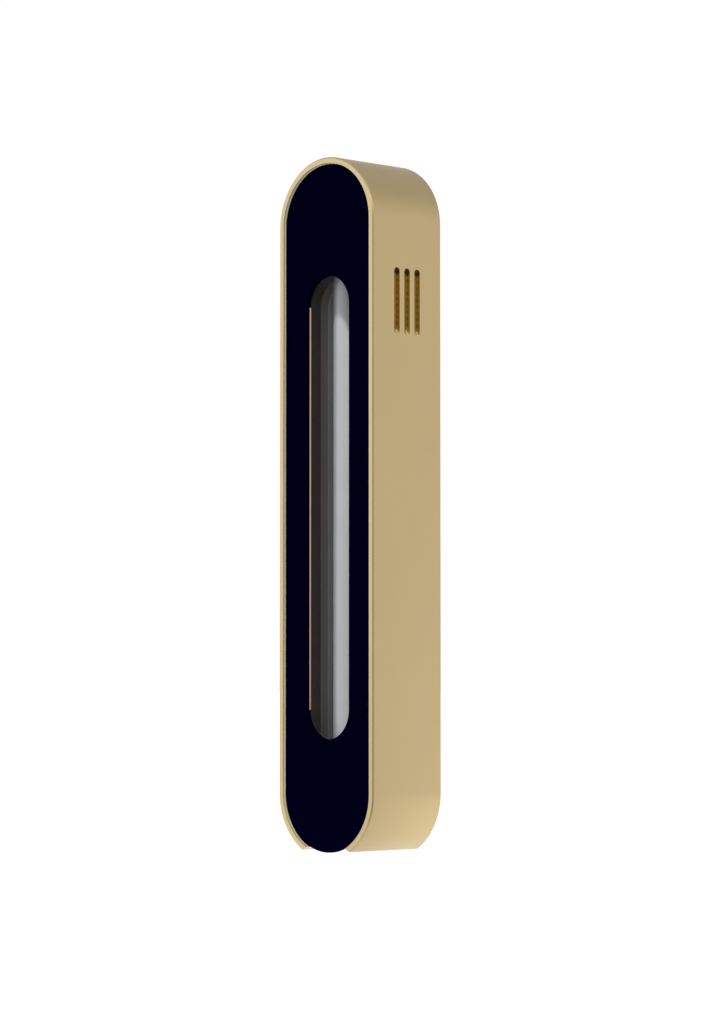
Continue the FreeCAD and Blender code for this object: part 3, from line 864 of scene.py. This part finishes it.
def make_camera():
    forward = Vector((-math.sin(CAMERA_AZIMUTH), math.cos(CAMERA_AZIMUTH), 0))
    right = Vector((math.cos(CAMERA_AZIMUTH), math.sin(CAMERA_AZIMUTH), 0))
    place_at = -forward * CAMERA_DISTANCE + right * CAMERA_SIDE + Vector((0, 0, CAMERA_HEIGHT))
    look = forward * math.cos(CAMERA_PITCH) + Vector((0, 0, math.sin(CAMERA_PITCH)))
    data = bpy.data.cameras.new("camera")
    data.lens = CAMERA_LENS
    data.sensor_width = 36.0
    data.clip_start = 0.01
    camera = bpy.data.objects.new("camera", data)
    bpy.context.scene.collection.objects.link(camera)
    camera.matrix_world = Matrix.Translation(place_at) @ look.to_track_quat("-Z", "Y").to_matrix().to_4x4()
    bpy.context.scene.camera = camera


def make_floor():
    mesh = bpy.data.meshes.new("floor")
    turns = ((-1, -1), (1, -1), (1, 1), (-1, 1))
    corners = [(x * FLOOR_HALF_SIZE, y * FLOOR_HALF_SIZE, cad_low.z) for x, y in turns]
    mesh.from_pydata(corners, [], [(0, 1, 2, 3)])
    floor = link("floor", mesh)
    nodes = Nodes("floor_white")
    nodes.set(Specular_IOR_Level=0.1)
    speckle = nodes.noise(8.0, 3.0)
    nodes.drive("Base Color", nodes.blend(speckle, (0.28, 0.28, 0.28), (0.32, 0.32, 0.32)))
    nodes.set(Roughness=0.9, Emission_Color=(1, 1, 1, 1))
    # the floor glows like a light table and fades toward the dim front of the studio
    toward = nodes.tree.nodes.new("ShaderNodeVectorMath")
    toward.operation = "DOT_PRODUCT"
    toward.inputs[1].default_value = direction(DIM_AZIMUTH, 0)
    nodes.tree.links.new(nodes.coords.outputs["Object"], toward.inputs[0])
    glow = nodes.spread(toward.outputs["Value"], FLOOR_GLOW, FLOOR_DIM, *FLOOR_FADE)
    path = nodes.tree.nodes.new("ShaderNodeLightPath")
    seen = path.outputs["Is Camera Ray"]
    unseen = nodes.combine("SUBTRACT", 1.0, seen)
    strength = nodes.combine("ADD", nodes.combine("MULTIPLY", glow, unseen), seen)
    nodes.drive("Emission Strength", strength)
    paint(floor, nodes.material)


# brightness of the surround by the sine of the height angle
SKY_STOPS = ((-1.0, 0.8), (0.0, 0.84), (0.22, 0.84), (0.5, 0.66), (0.72, 0.50), (1.0, 0.5))
# soft patches: kind, azimuth and height in degrees, sharpness, colour
SKY_PATCHES = (
    ("ADD", -44, 1, 14.0, (0.54, 0.65, 0.89)),
    ("ADD", 40, 30, 24.0, (1.6, 1.6, 1.5)),
    ("ADD", 190, 76, 18.0, (0.9, 0.9, 0.85)),
    ("MULTIPLY", 205, 15, 6.0, (0.64, 0.60, 0.50)),
    ("MULTIPLY", 44, -4, 9.0, (0.25, 0.25, 0.25)),
)
FLOOR_HALF_SIZE = 30.0
# the floor's glow, full behind the object and dim in front of it, and where it fades, in metres
DIM_AZIMUTH = 44
FLOOR_GLOW = 0.98
FLOOR_DIM = 0.2
FLOOR_FADE = (0.0, 0.045)
BEAM_AZIMUTH = 24
BEAM_ELEVATION = 67
BEAM_DISTANCE = 1.1
BEAM_SIZE = 0.07
BEAM_POWER = 23.0


def direction(azimuth, elevation):
    """Unit vector toward a place on the surround; azimuth 0 is in front, 90 on the vent side."""
    a = math.radians(azimuth)
    e = math.radians(elevation)
    return (math.sin(a) * math.cos(e), -math.cos(a) * math.cos(e), math.sin(e))


def area_light(name, azimuth, elevation, distance, size, power, colour=(1, 1, 1)):
    """Square light aimed at the middle of the object."""
    target = (cad_low + cad_high) / 2
    offset = Vector(direction(azimuth, elevation)) * distance
    data = bpy.data.lights.new(name, "AREA")
    data.shape = "SQUARE"
    data.size = size
    data.energy = power
    data.color = colour
    light = bpy.data.objects.new(name, data)
    bpy.context.scene.collection.objects.link(light)
    light.location = target + offset
    light.rotation_euler = (-offset).to_track_quat("-Z", "Y").to_euler()
    return light


def make_world():
    """Pale studio surround with soft bright and dim patches; the object stands before plain white."""
    world = bpy.data.worlds.new("studio")
    bpy.context.scene.world = world
    world.use_nodes = True
    tree = world.node_tree
    background = tree.nodes["Background"]
    coords = tree.nodes.new("ShaderNodeTexCoord")
    split = tree.nodes.new("ShaderNodeSeparateXYZ")
    tree.links.new(coords.outputs["Generated"], split.inputs["Vector"])
    height = tree.nodes.new("ShaderNodeMapRange")
    height.inputs["From Min"].default_value = -1.0
    height.inputs["From Max"].default_value = 1.0
    tree.links.new(split.outputs["Z"], height.inputs["Value"])
    ramp = tree.nodes.new("ShaderNodeValToRGB")
    tree.links.new(height.outputs["Result"], ramp.inputs["Fac"])
    elements = ramp.color_ramp.elements
    while len(elements) < len(SKY_STOPS):
        elements.new(0.5)
    for element, (sine, level) in zip(elements, SKY_STOPS):
        element.position = (sine + 1) / 2
        element.color = (level, level, level, 1)
    light = ramp.outputs["Color"]
    for kind, azimuth, elevation, power, colour in SKY_PATCHES:
        dot = tree.nodes.new("ShaderNodeVectorMath")
        dot.operation = "DOT_PRODUCT"
        dot.inputs[1].default_value = direction(azimuth, elevation)
        tree.links.new(coords.outputs["Generated"], dot.inputs[0])
        clip = tree.nodes.new("ShaderNodeMath")
        clip.operation = "MAXIMUM"
        clip.inputs[1].default_value = 0.0
        tree.links.new(dot.outputs["Value"], clip.inputs[0])
        lobe = tree.nodes.new("ShaderNodeMath")
        lobe.operation = "POWER"
        lobe.inputs[1].default_value = power
        tree.links.new(clip.outputs[0], lobe.inputs[0])
        add = tree.nodes.new("ShaderNodeMix")
        add.data_type = "RGBA"
        add.blend_type = kind
        add.inputs["B"].default_value = (*colour, 1)
        tree.links.new(lobe.outputs[0], add.inputs["Factor"])
        tree.links.new(light, add.inputs["A"])
        light = add.outputs["Result"]
    path = tree.nodes.new("ShaderNodeLightPath")
    mix = tree.nodes.new("ShaderNodeMix")
    mix.data_type = "RGBA"
    mix.inputs["B"].default_value = (1.02, 1.02, 1.02, 1)
    tree.links.new(path.outputs["Is Camera Ray"], mix.inputs["Factor"])
    tree.links.new(light, mix.inputs["A"])
    tree.links.new(mix.outputs["Result"], background.inputs["Color"])


def light_scene(window_pieces):
    make_world()
    # a narrow beam that only the roller and the window's edge strips receive
    beam = area_light("beam", BEAM_AZIMUTH, BEAM_ELEVATION, BEAM_DISTANCE, BEAM_SIZE, BEAM_POWER)
    receivers = bpy.data.collections.new("window_receivers")
    for piece in window_pieces:
        receivers.objects.link(piece)
    beam.light_linking.receiver_collection = receivers
    bpy.context.scene.view_settings.view_transform = "Standard"
    bpy.context.scene.view_settings.look = "None"


window_pieces = build_pieces()
paint_inner_nodes()
make_floor()
light_scene(window_pieces)
make_camera()
